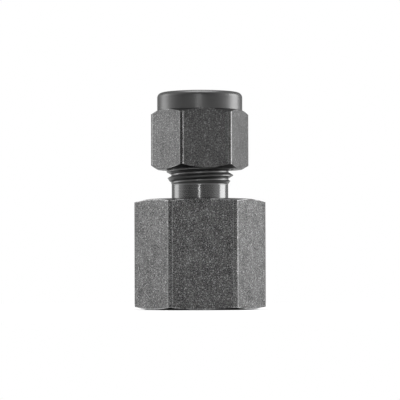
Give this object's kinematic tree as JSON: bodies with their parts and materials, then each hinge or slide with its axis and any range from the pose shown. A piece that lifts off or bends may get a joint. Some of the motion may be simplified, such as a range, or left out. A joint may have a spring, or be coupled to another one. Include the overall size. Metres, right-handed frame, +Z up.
{
  "type": "female compression connector",
  "caption": "Hexagonal tube connector: a compression nut with two ferrules on a threaded end, and a female taper pipe thread in the base.",
  "frame": {"origin": "centre of the base's face, where the female pipe thread opens", "axes": "+Z up along the flow, out of the tube's hole; -Y square to one flat of the large hexagon; +X through two of its corners"},
  "size_m": [0.0218, 0.019, 0.0362],
  "materials": {
    "body_steel": "satin, turned neck and grained flats",
    "nut_steel": "satin, turned collar and grained flats",
    "ferrule_steel": "smooth turned"
  },
  "bodies": {
    "connector": {"connector_body": "body_steel"},
    "ferrules": {"front_ferrule": "ferrule_steel", "back_ferrule": "ferrule_steel"},
    "nut": {"compression_nut": "nut_steel"}
  },
  "joints": [
    {"name": "ferrule_slide", "type": "slide", "parent": "connector", "child": "ferrules", "axis": [0, 0, 1], "range_m": [0, 0.00571]},
    {"name": "nut_turn", "type": "hinge", "parent": "ferrules", "child": "nut", "pos_m": [0, 0, 0.03], "axis": [0, 0, 1], "range_deg": [0, 1620]}
  ],
  "couplings": [
    {"joint": "ferrule_slide", "follows": "nut_turn", "m_per_rad": 0.00020213}
  ]
}
